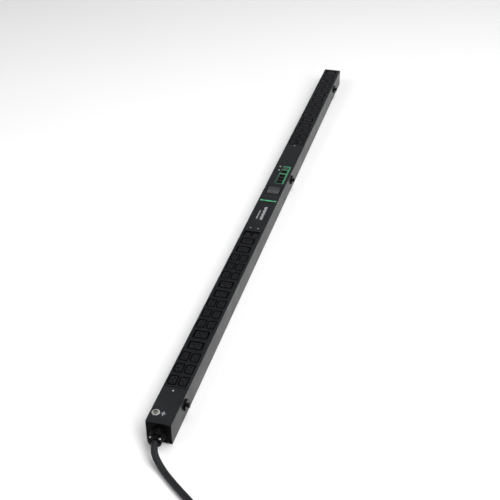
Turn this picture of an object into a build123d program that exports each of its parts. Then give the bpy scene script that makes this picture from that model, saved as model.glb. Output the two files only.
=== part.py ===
from build123d import *
import math
import os

# A vertical power strip for an equipment rack, lying on its back.
# Origin: the centre of the back face.
# +Z points out of the front face, +Y runs from the cord end to the far end, and
# +X is to the right as seen from the front with the cord end nearest.
# Sizes are in millimetres. Places along the strip are given from the cord end.

os.makedirs("parts", exist_ok=True)

# Enclosure
LENGTH = 1829.0
WIDTH = 56.0
DEPTH = 54.0
SHEET = 1.2
PANEL_BACK = DEPTH - SHEET
INSIDE_WIDTH = WIDTH - 2 * SHEET
LIP_LEFT = -25.3
LIP_RIGHT = 21.7
CAP_INSET = 0.5
CAP_THICKNESS = 1.5

# Front panels, start and end of each
BLANK_PANEL_LOWER = (0.0, 107.0)
OUTLET_PANEL_LOWER = (108.6, 701.0)
CONTROLLER_PANEL = (701.3, 1127.0)
BLANK_PANEL_UPPER = (1127.4, 1231.5)
OUTLET_PANEL_UPPER = (1234.0, LENGTH)

# Outlet banks: 15 rows each, alternating three paired rows and two single rows
BANK_FIRST_ROW = {"lower": 129.5, "upper": 1255.0}
ROW_PITCH = 39.3
ROWS = 15
C13_ROWS = [row for row in range(ROWS) if row % 5 < 3]
C19_ROWS = [row for row in range(ROWS) if row % 5 >= 3]
MODULE_X = -1.8
MODULE_WIDTH = 46.4
MODULE_LENGTH = 38.9
MODULE_BACK = 28.0
MODULE_FACE = 53.4
MODULE_DEPTH = MODULE_FACE - MODULE_BACK
WINDOW_WIDTH = MODULE_WIDTH + 0.4
WINDOW_LENGTH = ROWS * ROW_PITCH + 0.2
EDGE_BREAK = 0.3

# Ten amp outlet: an island with three slots inside a keyed groove
C13_COLUMNS = (-14.0, 10.5)
C13_RECESS = (20.2, 29.2, 5.0)
C13_ISLAND = (16.2, 24.4, 3.8)
C13_GROOVE_DEPTH = 15.5
C13_SLOTS = ((-2.6, 0.0), (2.0, 7.0), (2.0, -7.0))
C13_SLOT_LENGTH = 5.2

# Sixteen amp outlet
C19_X = -1.5
C19_RECESS = (34.6, 26.6)
C19_ISLAND = (28.2, 20.6)
C19_GROOVE_DEPTH = 20.0
C19_SLOTS = ((-6.5, 4.0), (6.5, 4.0), (0.0, -4.0))
C19_SLOT_LENGTH = 8.6
SLOT_WIDTH = 2.6

# Contacts, distribution boards and bars behind the outlets
CONTACT_TOP = 44.0
CONTACT_CLEARANCE = 0.2
CONTACT_LEAF = 0.4
BOARD_THICKNESS = 1.6
BOARD_BACK = MODULE_BACK - BOARD_THICKNESS
BOARD_X = (-24.5, 21.0)
BAR_WIDTH = 3.0
BAR_HEIGHT = 4.0
BAR_X = {"live": -16.0, "earth": -2.0, "neutral": 12.0}
STANDOFF_RADIUS = 2.4
STANDOFF_X = (-22.0, 18.0)
STANDOFF_STEP = 5 * ROW_PITCH

# Circuit breakers
BREAKER_Y = 715.0
BREAKER_X = (-11.2, 10.2)
BREAKER_WIDTH = 20.4
BREAKER_LENGTH = 25.4
BREAKER_BACK = 20.0
BREAKER_FACE = 50.0
ROCKER_WELL = (14.2, 20.4)
ROCKER_WELL_FLOOR = 41.0
ROCKER_WIDTH = 13.6
ROCKER_HALF_LENGTH = 9.2
ROCKER_PIVOT_Z = 46.5
ROCKER_TILT = 8.0
TRUNNION_RADIUS = 1.2
TRUNNION_REACH = 7.7
GUARD = (43.0, 26.0)
GUARD_X = -0.5
GUARD_FACE = 53.8
GUARD_OPENING = (18.6, 24.2)
GUARD_TAPER = 25.0

# Display and its buttons
DISPLAY_CENTRE = (1.0, 950.0)
DISPLAY_VIEW = (36.0, 40.0)
BEZEL_OUTER = (41.0, 45.0)
BEZEL_FACE = DEPTH + 0.4
BUTTON_Y = 912.0
BUTTON_X = {"menu_button": -13.0, "scroll_button": 1.0, "select_button": 15.0}
BUTTON_RADIUS = 3.9
BUTTON_FACE = 54.5
BUTTON_TRAVEL = 0.8
RESET_PLACE = (-13.0, 1045.0)
RESET_RADIUS = 1.6
RESET_FACE = 53.4
RUNNING_GAP = 0.35
FLANGE_TOP = PANEL_BACK - 0.3
FLANGE_THICKNESS = 1.7
FLANGE_LIP = 1.1
LIGHT_PLACES = ((-12.8, 1087.0), (-12.0, 1066.0))
LIGHT_RADIUS = 2.3

# Ports
PORT_X = 5.8
NETWORK_PORT_Y = 1058.5
ACCESSORY_PORT_Y = (998.0, 1016.0, 1034.0)
JACK_BODY = (15.8, 13.2)
JACK_MOUTH = (11.9, 7.4)
JACK_LATCH = (6.0, 2.4)
JACK_CAVITY_DEPTH = 13.0
JACK_FACE = DEPTH + 0.2
USB_Y = 1078.0
USB_SHELL = (13.2, 5.8)
USB_CAVITY = (12.4, 5.0)
USB_TONGUE = (11.0, 1.8)
CONTROLLER_BOARD_TOP = 37.0
CONTROLLER_BOARD_Y = (902.0, 1098.0)
CONTROLLER_BOARD_X = (-24.0, 20.5)
LABEL_THICKNESS = 0.25
PORT_LABEL_X = (-6.5, 20.0)
PORT_LABEL_Y = (987.0, 1092.0)
STRIP_LABEL_X = (-22.5, 24.0)
STRIP_LABEL_Y = (882.5, 894.5)
PRINT_THICKNESS = 0.15

# Earth terminal
GROUND_PLACE = (-15.0, 27.5)
GROUND_WASHER_RADIUS = 8.75
GROUND_SCREW_RADIUS = 3.0

# Mounting pegs on the right side
PEG_Y = (85.0, 1056.0, 1714.0)
PEG_Z = 32.0
PEG_FLANGE = (13.0, 5.0)
PEG_NECK = (4.5, 3.0)
PEG_HEAD = (6.0, 2.5)
PEG_BOLT_RADIUS = 3.0

# Screws
CAP_SCREW_X = 19.0
CAP_SCREW_Z = 4.4
SCREW_RADIUS = 1.5
PANEL_SCREW_X = 24.4
PANEL_SCREW_Y = [first + ROW_PITCH * n for first in BANK_FIRST_ROW.values() for n in (4.5, 9.5)]

# Cable gland
GLAND_Z = 27.0
GLAND_LENGTH = 28.0
GLAND_BASE_RADIUS = 17.0
GLAND_BASE_LENGTH = 13.0
GLAND_TIP_RADIUS = 15.0
GLAND_FLUTES = 12
GLAND_NECK_RADIUS = 10.0
CLAMP_START = 18.0
CLAMP_END = 27.0
CLAMP_SPLIT_Z = GLAND_Z + 2.6
CLAMP_TOP_Z = GLAND_Z + 11.5
CLAMP_SEAT_Z = GLAND_Z + 6.0
CLAMP_SCREW_X = 10.0

# Mains cord: the part of its route that is not coiled is a list of corners
CORD_DIAMETER = 14.5
CORD_RADIUS = CORD_DIAMETER / 2
CORD_LEAD = [
    (0.0, -920.5, 27.0),
    (0.0, -958.5, 27.0),
    (30.0, -987.0, 7.25),
    (68.0, -1018.5, 7.25),
    (106.0, -1046.0, 7.25),
    (150.0, -1080.0, 7.25),
    (190.0, -1114.9, 7.25),
]
COIL_CENTRE = (127.0, -1190.0)
COIL_OUTER_TURN = 98.0
COIL_INNER_TURN = 60.7
COIL_HEIGHT = 2 * CORD_DIAMETER
CORD_TAIL = [
    (225.0, -1190.0, 21.75),
    (225.0, -1250.0, 18.0),
    (200.0, -1304.0, 13.0),
    (145.0, -1330.0, 24.0),
    (100.0, -1330.0, 33.0),
]

# Mains plug, from the cord end of its grip towards the pins
PLUG_RADIUS = 33.0
PLUG_GRIP_LENGTH = 22.0
PLUG_HANDLE_LENGTH = 64.0
PLUG_SHROUD_LENGTH = 42.0
PLUG_CAVITY_RADIUS = 26.5
PLUG_CAVITY_DEPTH = 36.0
PLUG_PIN_CIRCLE = 11.5
PLUG_PIN_RADIUS = 3.0
PLUG_EARTH_PIN_RADIUS = 4.0


def along(distance):
    """Y of a place given by its distance from the cord end."""
    return distance - LENGTH / 2


def cross_plane(distance):
    """Plane across the strip: its x is +X, its y is +Z, and it faces the cord end."""
    return Plane.XZ.offset(-along(distance))


def middle(limits):
    return (limits[0] + limits[1]) / 2


def span(limits):
    return limits[1] - limits[0]


def keyed_corners(width, height, cut):
    """Corners of a rectangle whose two corners on its -X side are cut off."""
    right = width / 2
    top = height / 2
    return [
        (right, -top),
        (right, top),
        (cut - right, top),
        (-right, top - cut),
        (-right, cut - top),
        (cut - right, -top),
    ]


def row_places(bank, rows):
    """Centres of the named rows of one bank."""
    return [(0, along(BANK_FIRST_ROW[bank] + ROW_PITCH * row), 0) for row in rows]


# ---------------------------------------------------------------- enclosure

CAP_BOSS_Y = (along(8), along(LENGTH - 8))

with BuildPart() as rear_channel:
    with BuildSketch(cross_plane(0)) as channel_section:
        with Locations((0, PANEL_BACK / 2)):
            Rectangle(WIDTH, PANEL_BACK)
            Rectangle(INSIDE_WIDTH, PANEL_BACK - 2 * SHEET, mode=Mode.SUBTRACT)
        with Locations((middle((LIP_LEFT, LIP_RIGHT)), PANEL_BACK)):
            Rectangle(span((LIP_LEFT, LIP_RIGHT)), 3 * SHEET, mode=Mode.SUBTRACT)
        fillet(channel_section.vertices().group_by(Axis.Y)[0], 1.0)
    extrude(amount=-LENGTH)
    with Locations(*[(x, y, SHEET) for x in (-CAP_SCREW_X, CAP_SCREW_X) for y in CAP_BOSS_Y]):
        Box(8, 11, 6.4, align=(Align.CENTER, Align.CENTER, Align.MIN))
    with BuildSketch(cross_plane(0)):
        with Locations((-CAP_SCREW_X, CAP_SCREW_Z), (CAP_SCREW_X, CAP_SCREW_Z)):
            Circle(SCREW_RADIUS)
    extrude(amount=-LENGTH, mode=Mode.SUBTRACT)
    with BuildSketch(Plane.YZ.offset(WIDTH / 2)):
        with Locations(*[(along(y), PEG_Z) for y in PEG_Y]):
            Circle(PEG_BOLT_RADIUS)
    extrude(amount=-2 * SHEET, mode=Mode.SUBTRACT)
    with BuildSketch(Plane.XY.offset(PANEL_BACK)):
        with Locations(*[(PANEL_SCREW_X, along(y)) for y in PANEL_SCREW_Y]):
            Circle(SCREW_RADIUS)
    extrude(amount=-2 * SHEET, mode=Mode.SUBTRACT)
rear_channel.part.label = "rear_channel"
export_step(rear_channel.part, "parts/rear_channel.step")

with BuildPart() as lower_blank_panel:
    with BuildSketch(Plane.XY.offset(PANEL_BACK)):
        with Locations((0, along(middle(BLANK_PANEL_LOWER)))):
            Rectangle(WIDTH, span(BLANK_PANEL_LOWER))
        with Locations((GROUND_PLACE[0], along(GROUND_PLACE[1]))):
            Circle(GROUND_SCREW_RADIUS, mode=Mode.SUBTRACT)
    extrude(amount=SHEET)
    chamfer(lower_blank_panel.faces().sort_by(Axis.Z)[-1].outer_wire().edges(), 0.4)
lower_blank_panel.part.label = "lower_blank_panel"
export_step(lower_blank_panel.part, "parts/lower_blank_panel.step")

with BuildPart() as upper_blank_panel:
    with BuildSketch(Plane.XY.offset(PANEL_BACK)):
        with Locations((0, along(middle(BLANK_PANEL_UPPER)))):
            Rectangle(WIDTH, span(BLANK_PANEL_UPPER))
    extrude(amount=SHEET)
    chamfer(upper_blank_panel.faces().sort_by(Axis.Z)[-1].outer_wire().edges(), 0.4)
upper_blank_panel.part.label = "upper_blank_panel"
export_step(upper_blank_panel.part, "parts/upper_blank_panel.step")

for bank, limits in (("lower", OUTLET_PANEL_LOWER), ("upper", OUTLET_PANEL_UPPER)):
    window_middle = BANK_FIRST_ROW[bank] + ROW_PITCH * (ROWS - 1) / 2
    with BuildPart() as outlet_panel:
        with BuildSketch(Plane.XY.offset(PANEL_BACK)):
            with Locations((0, along(middle(limits)))):
                Rectangle(WIDTH, span(limits))
            with Locations((MODULE_X, along(window_middle))):
                Rectangle(WINDOW_WIDTH, WINDOW_LENGTH, mode=Mode.SUBTRACT)
            screws = [(PANEL_SCREW_X, along(y)) for y in PANEL_SCREW_Y if limits[0] < y < limits[1]]
            with Locations(*screws):
                Circle(SCREW_RADIUS, mode=Mode.SUBTRACT)
        extrude(amount=SHEET)
        chamfer(outlet_panel.faces().sort_by(Axis.Z)[-1].outer_wire().edges(), 0.4)
    outlet_panel.part.label = f"{bank}_outlet_panel"
    export_step(outlet_panel.part, f"parts/{bank}_outlet_panel.step")

with BuildPart() as controller_panel:
    with BuildSketch(Plane.XY.offset(PANEL_BACK)):
        with Locations((0, along(middle(CONTROLLER_PANEL)))):
            Rectangle(WIDTH, span(CONTROLLER_PANEL))
        with Locations((GUARD_X, along(BREAKER_Y))):
            Rectangle(GUARD[0] + 0.4, GUARD[1] + 0.4, mode=Mode.SUBTRACT)
        with Locations((DISPLAY_CENTRE[0], along(DISPLAY_CENTRE[1]))):
            Rectangle(DISPLAY_VIEW[0] + 2.4, DISPLAY_VIEW[1] + 2.4, mode=Mode.SUBTRACT)
        with Locations(*[(x, along(BUTTON_Y)) for x in BUTTON_X.values()]):
            Circle(BUTTON_RADIUS + RUNNING_GAP, mode=Mode.SUBTRACT)
        with Locations((RESET_PLACE[0], along(RESET_PLACE[1]))):
            Circle(RESET_RADIUS + RUNNING_GAP, mode=Mode.SUBTRACT)
        with Locations(*[(x, along(y)) for x, y in LIGHT_PLACES]):
            Circle(LIGHT_RADIUS, mode=Mode.SUBTRACT)
        with Locations(*[(PORT_X, along(y)) for y in (NETWORK_PORT_Y, *ACCESSORY_PORT_Y)]):
            Rectangle(JACK_BODY[0] + 0.4, JACK_BODY[1] + 0.4, mode=Mode.SUBTRACT)
        with Locations((PORT_X, along(USB_Y))):
            Rectangle(USB_SHELL[0] + 0.4, USB_SHELL[1] + 0.4, mode=Mode.SUBTRACT)
    extrude(amount=SHEET)
    chamfer(controller_panel.faces().sort_by(Axis.Z)[-1].outer_wire().edges(), 0.4)
controller_panel.part.label = "controller_panel"
export_step(controller_panel.part, "parts/controller_panel.step")

# Each end cap is a folded plate: a face with three tabs that lie inside the channel.
CAP_HEIGHT = PANEL_BACK - 2 * SHEET - 0.2
CAP_TAB = 14.0
cap_screw_places = [(-CAP_SCREW_X, CAP_SCREW_Z), (CAP_SCREW_X, CAP_SCREW_Z)]
with BuildPart() as cord_end_cap:
    with BuildSketch(cross_plane(CAP_INSET)):
        with Locations((0, SHEET + 0.1)):
            Rectangle(INSIDE_WIDTH - 0.2, CAP_HEIGHT, align=(Align.CENTER, Align.MIN))
        with Locations((0, GLAND_Z)):
            Circle(GLAND_NECK_RADIUS, mode=Mode.SUBTRACT)
        with Locations(*cap_screw_places):
            Circle(SCREW_RADIUS, mode=Mode.SUBTRACT)
    extrude(amount=-CAP_THICKNESS)
    with BuildSketch(cross_plane(CAP_INSET + CAP_THICKNESS)):
        for side in (-1, 1):
            with Locations((side * (INSIDE_WIDTH / 2 - 0.1 - SHEET / 2), GLAND_Z)):
                Rectangle(SHEET, CAP_HEIGHT - 16)
    extrude(amount=-CAP_TAB)
cord_end_cap.part.label = "cord_end_cap"
export_step(cord_end_cap.part, "parts/cord_end_cap.step")

with BuildPart() as far_end_cap:
    with BuildSketch(cross_plane(LENGTH - CAP_INSET)):
        with Locations((0, SHEET + 0.1)):
            Rectangle(INSIDE_WIDTH - 0.2, CAP_HEIGHT, align=(Align.CENTER, Align.MIN))
        with Locations(*cap_screw_places):
            Circle(SCREW_RADIUS, mode=Mode.SUBTRACT)
    extrude(amount=CAP_THICKNESS)
    with BuildSketch(cross_plane(LENGTH - CAP_INSET - CAP_THICKNESS)):
        for side in (-1, 1):
            with Locations((side * (INSIDE_WIDTH / 2 - 0.1 - SHEET / 2), GLAND_Z)):
                Rectangle(SHEET, CAP_HEIGHT - 16)
    extrude(amount=CAP_TAB)
far_end_cap.part.label = "far_end_cap"
export_step(far_end_cap.part, "parts/far_end_cap.step")

# A pan-head machine screw with a cross recess, standing head up on the origin.
with BuildPart() as pan_screw:
    with BuildSketch(Plane.XY):
        Circle(2.7)
    extrude(amount=1.6)
    fillet(pan_screw.faces().sort_by(Axis.Z)[-1].edges(), 0.9)
    with BuildSketch(Plane.XY):
        Circle(SCREW_RADIUS - 0.02)
    extrude(amount=-8)
    with BuildSketch(Plane.XY.offset(1.6)):
        Rectangle(2.6, 0.6)
        Rectangle(0.6, 2.6)
    extrude(amount=-0.9, mode=Mode.SUBTRACT)

with BuildPart() as cap_screws:
    for x, z in cap_screw_places:
        with Locations(Plane((x, along(CAP_INSET), z), x_dir=(1, 0, 0), z_dir=(0, -1, 0))):
            add(pan_screw.part)
        with Locations(Plane((x, -along(CAP_INSET), z), x_dir=(1, 0, 0), z_dir=(0, 1, 0))):
            add(pan_screw.part)
cap_screws.part.label = "cap_screws"
export_step(cap_screws.part, "parts/cap_screws.step")

with BuildPart() as low_screw:
    with BuildSketch(Plane.XY):
        Circle(2.4)
    extrude(amount=0.7)
    fillet(low_screw.faces().sort_by(Axis.Z)[-1].edges(), 0.4)
    with BuildSketch(Plane.XY):
        Circle(SCREW_RADIUS - 0.02)
    extrude(amount=-4)
    with BuildSketch(Plane.XY.offset(0.7)):
        RegularPolygon(1.1, 6)
    extrude(amount=-1.5, mode=Mode.SUBTRACT)

with BuildPart() as panel_screws:
    with Locations(*[(PANEL_SCREW_X, along(y), DEPTH) for y in PANEL_SCREW_Y]):
        add(low_screw.part)
panel_screws.part.label = "panel_screws"
export_step(panel_screws.part, "parts/panel_screws.step")

# ---------------------------------------------------------------- outlets

with BuildPart() as c13_duplex:
    with BuildSketch(Plane.XY.offset(MODULE_BACK)):
        with Locations((MODULE_X, 0)):
            RectangleRounded(MODULE_WIDTH, MODULE_LENGTH, 1.0)
    extrude(amount=MODULE_DEPTH)
    with BuildSketch(Plane.XY.offset(MODULE_FACE)) as c13_grooves:
        with Locations(*[(x, 0) for x in C13_COLUMNS]):
            Polygon(*keyed_corners(*C13_RECESS), align=None)
        fillet(c13_grooves.vertices(), 1.6)
        with Locations(*[(x, 0) for x in C13_COLUMNS]):
            Polygon(*keyed_corners(*C13_ISLAND), align=None, mode=Mode.SUBTRACT)
    extrude(amount=-C13_GROOVE_DEPTH, mode=Mode.SUBTRACT)
    with BuildSketch(Plane.XY.offset(MODULE_FACE)):
        with Locations(*[(column + x, y) for column in C13_COLUMNS for x, y in C13_SLOTS]):
            Rectangle(C13_SLOT_LENGTH, SLOT_WIDTH)
    extrude(amount=-MODULE_DEPTH, mode=Mode.SUBTRACT)
    chamfer(c13_duplex.faces().group_by(Axis.Z)[-1].edges(), EDGE_BREAK)

with BuildPart() as c19_single:
    with BuildSketch(Plane.XY.offset(MODULE_BACK)):
        with Locations((MODULE_X, 0)):
            RectangleRounded(MODULE_WIDTH, MODULE_LENGTH, 1.0)
    extrude(amount=MODULE_DEPTH)
    with BuildSketch(Plane.XY.offset(MODULE_FACE)):
        with Locations((C19_X, 0)):
            RectangleRounded(*C19_RECESS, 3.0)
            RectangleRounded(*C19_ISLAND, 1.5, mode=Mode.SUBTRACT)
    extrude(amount=-C19_GROOVE_DEPTH, mode=Mode.SUBTRACT)
    with BuildSketch(Plane.XY.offset(MODULE_FACE)):
        with Locations(*[(C19_X + x, y) for x, y in C19_SLOTS]):
            Rectangle(C19_SLOT_LENGTH, SLOT_WIDTH)
    extrude(amount=-MODULE_DEPTH, mode=Mode.SUBTRACT)
    chamfer(c19_single.faces().group_by(Axis.Z)[-1].edges(), EDGE_BREAK)

for bank in BANK_FIRST_ROW:
    with BuildPart() as c13_outlets:
        with Locations(*row_places(bank, C13_ROWS)):
            add(c13_duplex.part)
    c13_outlets.part.label = f"{bank}_c13_outlets"
    export_step(c13_outlets.part, f"parts/{bank}_c13_outlets.step")

    with BuildPart() as c19_outlets:
        with Locations(*row_places(bank, C19_ROWS)):
            add(c19_single.part)
    c19_outlets.part.label = f"{bank}_c19_outlets"
    export_step(c19_outlets.part, f"parts/{bank}_c19_outlets.step")

# Female contacts: a pair of leaves on a foot, one in each slot, standing on the board.
CONTACT_WIDTH = SLOT_WIDTH - CONTACT_CLEARANCE
CONTACT_GAP = CONTACT_WIDTH - 2 * CONTACT_LEAF
CONTACT_FOOT = 1.0


def contact_pairs(places, slot_length):
    """A pair of leaves at each place: a block with a gap cut down to its foot."""
    with BuildPart() as pairs:
        with BuildSketch(Plane.XY.offset(MODULE_BACK)):
            with Locations(*places):
                Rectangle(slot_length - 0.4, CONTACT_WIDTH)
        extrude(amount=CONTACT_TOP - MODULE_BACK)
        with BuildSketch(Plane.XY.offset(CONTACT_TOP)):
            with Locations(*places):
                Rectangle(slot_length, CONTACT_GAP)
        extrude(amount=MODULE_BACK + CONTACT_FOOT - CONTACT_TOP, mode=Mode.SUBTRACT)
    return pairs.part


c13_contact_places = [(column + x, y) for column in C13_COLUMNS for x, y in C13_SLOTS]
c13_contact_set = contact_pairs(c13_contact_places, C13_SLOT_LENGTH)
c19_contact_set = contact_pairs([(C19_X + x, y) for x, y in C19_SLOTS], C19_SLOT_LENGTH)

with BuildPart() as outlet_contacts:
    for bank in BANK_FIRST_ROW:
        with Locations(*row_places(bank, C13_ROWS)):
            add(c13_contact_set)
        with Locations(*row_places(bank, C19_ROWS)):
            add(c19_contact_set)
outlet_contacts.part.label = "outlet_contacts"
export_step(outlet_contacts.part, "parts/outlet_contacts.step")

# One distribution board per bank, its three bars, and the posts that hold it.
bank_middles = [(0, along(first + ROW_PITCH * (ROWS - 1) / 2), 0) for first in BANK_FIRST_ROW.values()]
BOARD_LENGTH = ROWS * ROW_PITCH - 2
with BuildPart() as outlet_boards:
    with BuildSketch(Plane.XY.offset(BOARD_BACK)):
        with Locations(*[(middle(BOARD_X), y) for _, y, _ in bank_middles]):
            Rectangle(span(BOARD_X), BOARD_LENGTH)
    extrude(amount=BOARD_THICKNESS)
outlet_boards.part.label = "outlet_boards"
export_step(outlet_boards.part, "parts/outlet_boards.step")

for name, x in BAR_X.items():
    with BuildPart() as busbars:
        with BuildSketch(Plane.XY.offset(BOARD_BACK)):
            with Locations(*[(x, y) for _, y, _ in bank_middles]):
                Rectangle(BAR_WIDTH, BOARD_LENGTH - 8)
        extrude(amount=-BAR_HEIGHT)
    busbars.part.label = f"{name}_busbars"
    export_step(busbars.part, f"parts/{name}_busbars.step")

with BuildPart() as board_standoffs:
    with BuildSketch(Plane.XY.offset(SHEET)):
        for _, y, _ in bank_middles:
            with Locations(*[(x, y + STANDOFF_STEP * (n - 1)) for x in STANDOFF_X for n in range(3)]):
                RegularPolygon(STANDOFF_RADIUS, 6)
    extrude(amount=BOARD_BACK - SHEET)
board_standoffs.part.label = "board_standoffs"
export_step(board_standoffs.part, "parts/board_standoffs.step")

# ---------------------------------------------------------------- circuit breakers

with BuildPart() as breaker_guard:
    with BuildSketch(Plane.XY.offset(BREAKER_FACE)):
        with Locations((GUARD_X, along(BREAKER_Y))):
            RectangleRounded(*GUARD, 1.5)
    extrude(amount=GUARD_FACE - BREAKER_FACE)
    with BuildSketch(Plane.XY.offset(GUARD_FACE)):
        with Locations(*[(x, along(BREAKER_Y)) for x in BREAKER_X]):
            RectangleRounded(*GUARD_OPENING, 2.2)
    extrude(amount=BREAKER_FACE - GUARD_FACE, taper=GUARD_TAPER, mode=Mode.SUBTRACT)
breaker_guard.part.label = "breaker_guard"
export_step(breaker_guard.part, "parts/breaker_guard.step")

for number, breaker_x in enumerate(BREAKER_X, start=1):
    with BuildPart() as breaker_body:
        with BuildSketch(Plane.XY.offset(BREAKER_BACK)):
            with Locations((breaker_x, along(BREAKER_Y))):
                Rectangle(BREAKER_WIDTH, BREAKER_LENGTH)
        extrude(amount=BREAKER_FACE - BREAKER_BACK)
        with BuildSketch(Plane.XY.offset(BREAKER_FACE)):
            with Locations((breaker_x, along(BREAKER_Y))):
                Rectangle(*ROCKER_WELL)
        extrude(amount=ROCKER_WELL_FLOOR - BREAKER_FACE, mode=Mode.SUBTRACT)
        with BuildSketch(Plane.YZ.offset(breaker_x)):
            with Locations((along(BREAKER_Y), ROCKER_PIVOT_Z)):
                Circle(TRUNNION_RADIUS + 0.05)
        extrude(amount=TRUNNION_REACH + 0.2, both=True, mode=Mode.SUBTRACT)
        with BuildSketch(Plane.XY.offset(BREAKER_BACK)):
            with Locations((breaker_x, along(BREAKER_Y - 7)), (breaker_x, along(BREAKER_Y + 7))):
                Rectangle(6.3, 0.8)
        extrude(amount=-3.5)
    breaker_body.part.label = f"breaker_body_{number}"
    export_step(breaker_body.part, f"parts/breaker_body_{number}.step")

    tilt = math.radians(ROCKER_TILT)
    rocker_plane = Plane(
        (breaker_x, along(BREAKER_Y), ROCKER_PIVOT_Z),
        x_dir=(0, math.cos(tilt), -math.sin(tilt)),
        z_dir=(1, 0, 0),
    )
    with BuildPart() as breaker_rocker:
        with BuildSketch(rocker_plane):
            with BuildLine():
                Polyline(
                    (-ROCKER_HALF_LENGTH, -1.0),
                    (-5.0, -3.0),
                    (5.0, -3.0),
                    (ROCKER_HALF_LENGTH, -1.0),
                    (ROCKER_HALF_LENGTH, 4.2),
                    (0.0, 2.9),
                    (-ROCKER_HALF_LENGTH, 4.2),
                    close=True,
                )
            make_face()
        extrude(amount=ROCKER_WIDTH / 2, both=True)
        fillet(breaker_rocker.edges().filter_by(Axis.X).group_by(Axis.Z)[-1], 0.6)
        with BuildSketch(rocker_plane):
            Circle(TRUNNION_RADIUS)
        extrude(amount=TRUNNION_REACH, both=True)
    breaker_rocker.part.label = f"breaker_rocker_{number}"
    export_step(breaker_rocker.part, f"parts/breaker_rocker_{number}.step")

# ---------------------------------------------------------------- display, buttons and lights

display_place = (DISPLAY_CENTRE[0], along(DISPLAY_CENTRE[1]))
with BuildPart() as display_bezel:
    with BuildSketch(Plane.XY.offset(DEPTH)):
        with Locations(display_place):
            RectangleRounded(*BEZEL_OUTER, 2.0)
    extrude(amount=BEZEL_FACE - DEPTH)
    chamfer(display_bezel.faces().sort_by(Axis.Z)[-1].edges(), 0.3)
    with BuildSketch(Plane.XY.offset(PANEL_BACK)):
        with Locations(display_place):
            Rectangle(DISPLAY_VIEW[0] + 2, DISPLAY_VIEW[1] + 2)
    extrude(amount=SHEET)
    with BuildSketch(Plane.XY.offset(PANEL_BACK)):
        with Locations(display_place):
            RectangleRounded(*DISPLAY_VIEW, 1.0)
    extrude(amount=BEZEL_FACE - PANEL_BACK, mode=Mode.SUBTRACT)
display_bezel.part.label = "display_bezel"
export_step(display_bezel.part, "parts/display_bezel.step")

with BuildPart() as display_window:
    with BuildSketch(Plane.XY.offset(PANEL_BACK)):
        with Locations(display_place):
            RectangleRounded(DISPLAY_VIEW[0] - 0.1, DISPLAY_VIEW[1] - 0.1, 1.0)
    extrude(amount=DEPTH - PANEL_BACK)
display_window.part.label = "display_window"
export_step(display_window.part, "parts/display_window.step")

with BuildPart() as lcd_module:
    with BuildSketch(Plane.XY.offset(CONTROLLER_BOARD_TOP)):
        with Locations(display_place):
            Rectangle(DISPLAY_VIEW[0] + 4, DISPLAY_VIEW[1] + 4)
    extrude(amount=PANEL_BACK - CONTROLLER_BOARD_TOP)
    chamfer(lcd_module.edges().filter_by(Axis.Z), 1.0)
lcd_module.part.label = "lcd_module"
export_step(lcd_module.part, "parts/lcd_module.step")

for name, x in BUTTON_X.items():
    with BuildPart() as button:
        with BuildSketch(Plane.XY.offset(FLANGE_TOP - FLANGE_THICKNESS)):
            with Locations((x, along(BUTTON_Y))):
                Circle(BUTTON_RADIUS + FLANGE_LIP)
        extrude(amount=FLANGE_THICKNESS)
        with BuildSketch(Plane.XY.offset(FLANGE_TOP)):
            with Locations((x, along(BUTTON_Y))):
                Circle(BUTTON_RADIUS)
        extrude(amount=BUTTON_FACE - FLANGE_TOP)
        fillet(button.faces().sort_by(Axis.Z)[-1].edges(), 0.4)
    button.part.label = name
    export_step(button.part, f"parts/{name}.step")

with BuildPart() as reset_button:
    with BuildSketch(Plane.XY.offset(FLANGE_TOP - FLANGE_THICKNESS)):
        with Locations((RESET_PLACE[0], along(RESET_PLACE[1]))):
            Circle(RESET_RADIUS + FLANGE_LIP)
    extrude(amount=FLANGE_THICKNESS)
    with BuildSketch(Plane.XY.offset(FLANGE_TOP)):
        with Locations((RESET_PLACE[0], along(RESET_PLACE[1]))):
            Circle(RESET_RADIUS)
    extrude(amount=RESET_FACE - FLANGE_TOP)
    fillet(reset_button.faces().sort_by(Axis.Z)[-1].edges(), 0.3)
reset_button.part.label = "reset_button"
export_step(reset_button.part, "parts/reset_button.step")

# Tall push switches on the board, one under each button.
button_places = [(x, along(BUTTON_Y)) for x in BUTTON_X.values()]
button_places.append((RESET_PLACE[0], along(RESET_PLACE[1])))
PLUNGER_TOP = FLANGE_TOP - FLANGE_THICKNESS - BUTTON_TRAVEL - 0.3
with BuildPart() as tact_switches:
    with BuildSketch(Plane.XY.offset(CONTROLLER_BOARD_TOP)):
        with Locations(*button_places):
            Rectangle(6.2, 6.2)
    extrude(amount=4)
    with BuildSketch(Plane.XY.offset(CONTROLLER_BOARD_TOP + 4)):
        with Locations(*button_places):
            Circle(1.7)
    extrude(amount=PLUNGER_TOP - CONTROLLER_BOARD_TOP - 4)
tact_switches.part.label = "tact_switches"
export_step(tact_switches.part, "parts/tact_switches.step")

with BuildPart() as status_lights:
    with BuildSketch(Plane.XY.offset(CONTROLLER_BOARD_TOP)):
        with Locations(*[(x, along(y)) for x, y in LIGHT_PLACES]):
            Circle(LIGHT_RADIUS - 0.05)
    extrude(amount=DEPTH + 0.3 - CONTROLLER_BOARD_TOP)
    fillet(status_lights.faces().group_by(Axis.Z)[-1].edges(), 0.6)
status_lights.part.label = "status_lights"
export_step(status_lights.part, "parts/status_lights.step")

# ---------------------------------------------------------------- ports and labels

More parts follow.
